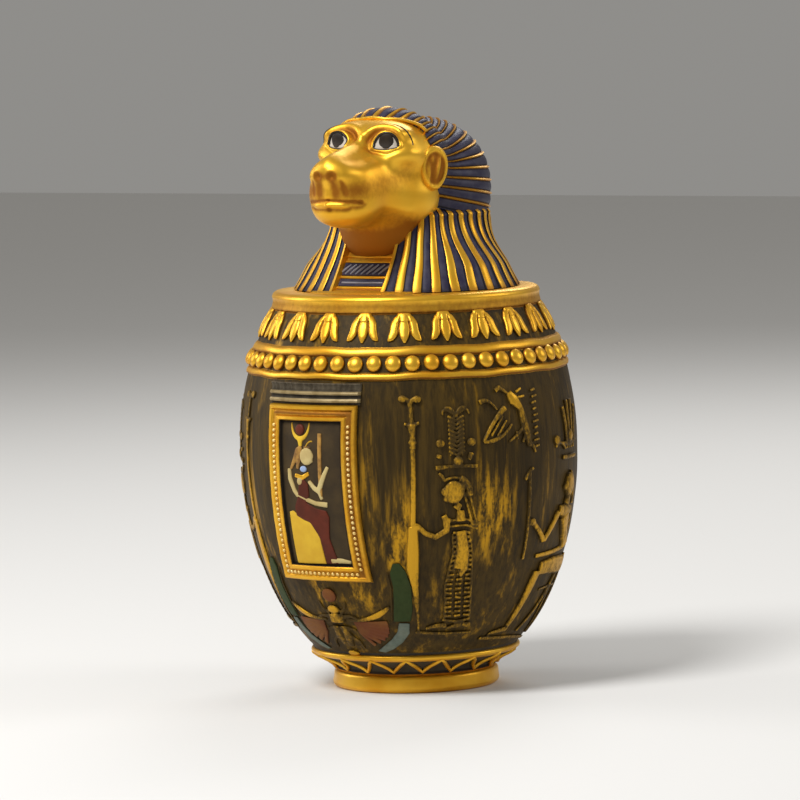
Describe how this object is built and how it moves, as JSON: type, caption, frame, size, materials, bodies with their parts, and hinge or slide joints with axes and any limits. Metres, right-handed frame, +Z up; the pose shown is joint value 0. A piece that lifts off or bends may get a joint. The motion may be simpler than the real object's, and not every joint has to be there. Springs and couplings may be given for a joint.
{
  "type": "canopic jar",
  "caption": "Decorated canopic jar in cast resin, with a hollow body carved in low relief and a lift-off lid shaped as a baboon's head in a striped wig.",
  "frame": {"origin": "centre of the flat underside of the jar's foot", "axes": "+Z up along the jar's axis, -Y towards the jar's front with the framed picture, +X to the right of someone facing the front"},
  "size_m": [0.1169, 0.1175, 0.1997],
  "materials": {
    "painted_bronze": "dark bronze-brown paint on cast resin, with gold paint on the raised work",
    "painted_gold": "satin gold paint on cast resin, with indigo stripes in the wig"
  },
  "bodies": {
    "root": {"jar": "painted_bronze", "lid": "painted_gold"}
  },
  "joints": []
}
